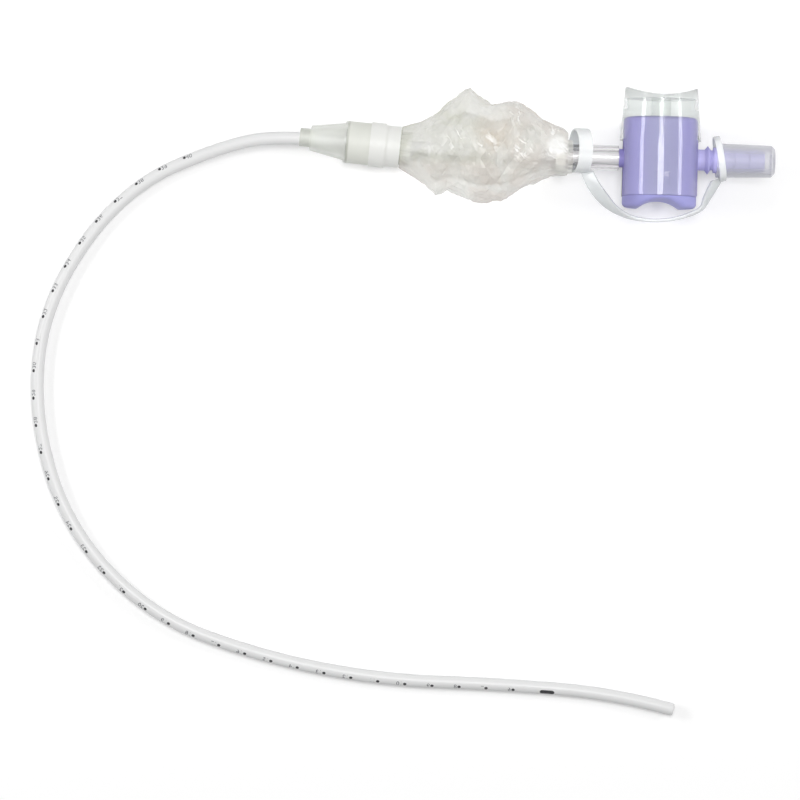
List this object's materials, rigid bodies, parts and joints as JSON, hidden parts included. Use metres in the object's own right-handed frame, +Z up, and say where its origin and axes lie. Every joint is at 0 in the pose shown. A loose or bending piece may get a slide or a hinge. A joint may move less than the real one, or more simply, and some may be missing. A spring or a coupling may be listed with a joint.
{
  "type": "closed suction catheter",
  "caption": "Closed suction catheter with thumb valve, capped suction connector, bunched film sleeve, patient end fitting and a long marked tube lying in a curve.",
  "frame": {"origin": "on the table, below the middle of the box round everything but the catheter", "axes": "+X along the set from the patient end fitting to the suction connector, +Y along the valve's axis towards the thumb cap's top, +Z up from the table"},
  "size_m": [0.2717, 0.2308, 0.0298],
  "materials": {
    "lavender_plastic": "glossy",
    "clear_plastic": "clear",
    "soft_clear": "satin",
    "film": "crumpled",
    "white_plastic": "satin",
    "frosted_plastic": "frosted",
    "catheter_tube": "satin",
    "silicone": "satin",
    "seal_rubber": "satin",
    "spring_steel": "drawn wire"
  },
  "bodies": {
    "catheter_set": {"valve_body": "lavender_plastic", "return_spring": "spring_steel", "stem_tube": "clear_plastic", "proximal_clamp_ring": "white_plastic", "tether_strap": "soft_clear", "sleeve": "film", "distal_clamp_ring": "white_plastic", "seal_collar": "frosted_plastic", "wiper_seal": "silicone", "cone_adapter": "clear_plastic", "nozzle_ring": "clear_plastic", "catheter": "catheter_tube"},
    "thumb_cap": {"thumb_cap": "clear_plastic", "plunger": "white_plastic", "upper_o_ring": "seal_rubber", "lower_o_ring": "seal_rubber"},
    "connector_cap": {"connector_cap": "clear_plastic"}
  },
  "joints": [
    {"name": "thumb_cap_press", "type": "slide", "parent": "catheter_set", "child": "thumb_cap", "axis": [0, -1, 0], "range_m": [0, 0.0025], "stiffness_N_per_m": 1200, "springref_m": -0.0015, "deforming": ["return_spring"]},
    {"name": "connector_cap_pull", "type": "slide", "parent": "catheter_set", "child": "connector_cap", "axis": [1, 0, 0], "range_m": [0, 0.0175], "deforming": ["tether_strap"]}
  ]
}
